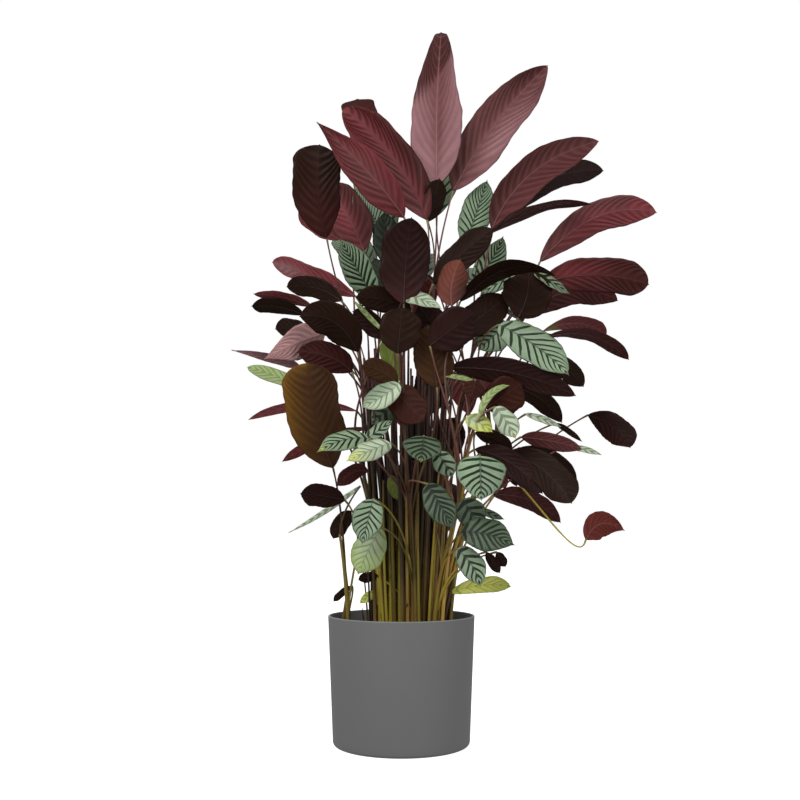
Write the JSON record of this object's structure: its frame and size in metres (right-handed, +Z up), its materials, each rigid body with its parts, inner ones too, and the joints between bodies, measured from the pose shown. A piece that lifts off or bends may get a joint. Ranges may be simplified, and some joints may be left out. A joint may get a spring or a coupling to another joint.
{
  "type": "potted prayer plant",
  "caption": "Tall potted prayer plant: long leaves with wine undersides and silver striped tops on slender canes, in a plain round tapered grey pot.",
  "frame": {"origin": "centre of the pot's underside", "axes": "+Z up along the canes, the plant's front faces -Y, +X to the right as seen from the front"},
  "size_m": [0.7191, 0.5512, 1.2943],
  "materials": {
    "pot": "matte",
    "soil": "matte",
    "stem": "satin",
    "leaf_wine": "satin",
    "leaf_plum": "satin",
    "leaf_olive": "satin",
    "leaf_striped": "satin",
    "leaf_lime": "satin"
  },
  "bodies": {
    "root": {"pot": "pot", "soil": "soil", "shoot_top": "stem", "shoot_top_left": "stem", "shoot_upper_right": "stem", "shoot_upper_left": "stem", "shoot_left": "stem", "shoot_left_outer": "stem", "shoot_front": "stem", "shoot_right": "stem", "shoot_front_right": "stem", "shoot_back_left": "stem", "shoot_back_right": "stem", "top_leaf_centre": "leaf_wine", "top_leaf_right": "leaf_wine", "striped_leaf_top_right": "leaf_striped", "upper_leaf_right_dark": "leaf_plum", "top_leaf_left_high": "leaf_wine", "top_leaf_left_low": "leaf_wine", "top_leaf_left_back": "leaf_plum", "upper_leaf_right_high": "leaf_wine", "upper_leaf_right_behind": "leaf_plum", "upper_leaf_right_edge": "leaf_plum", "upper_leaf_right_long": "leaf_wine", "right_leaf_broad": "leaf_wine", "right_leaf_under": "leaf_plum", "upper_leaf_left_dark": "leaf_plum", "upper_leaf_left_red": "leaf_wine", "striped_leaf_left": "leaf_striped", "left_leaf_red_high": "leaf_wine", "left_leaf_mauve": "leaf_wine", "left_leaf_dark_broad": "leaf_plum", "left_leaf_curled": "leaf_wine", "left_leaf_maroon": "leaf_plum", "left_leaf_thin_red": "leaf_wine", "left_leaf_olive_big": "leaf_olive", "low_leaf_dark_left": "leaf_plum", "centre_leaf_dark": "leaf_plum", "centre_leaf_tall_olive": "leaf_olive", "inner_leaf_rust": "leaf_plum", "low_striped_centre": "leaf_striped", "right_leaf_arch": "leaf_plum", "right_striped_big": "leaf_striped", "right_leaf_far_low": "leaf_wine", "right_leaf_long_dark": "leaf_plum", "right_leaf_alone": "leaf_plum", "right_leaf_heart": "leaf_wine", "low_leaf_right_red": "leaf_wine", "low_leaf_yellow": "leaf_lime", "low_leaf_right_a": "leaf_plum", "low_leaf_right_b": "leaf_plum", "low_striped_heart": "leaf_striped", "back_leaf_upper_left": "leaf_wine", "back_leaf_upper_mid": "leaf_plum", "back_leaf_left": "leaf_wine", "back_leaf_low_mid": "leaf_wine", "back_leaf_top": "leaf_wine", "back_leaf_upper_right": "leaf_wine", "back_leaf_mid": "leaf_plum", "back_leaf_right": "leaf_plum"}
  },
  "joints": []
}
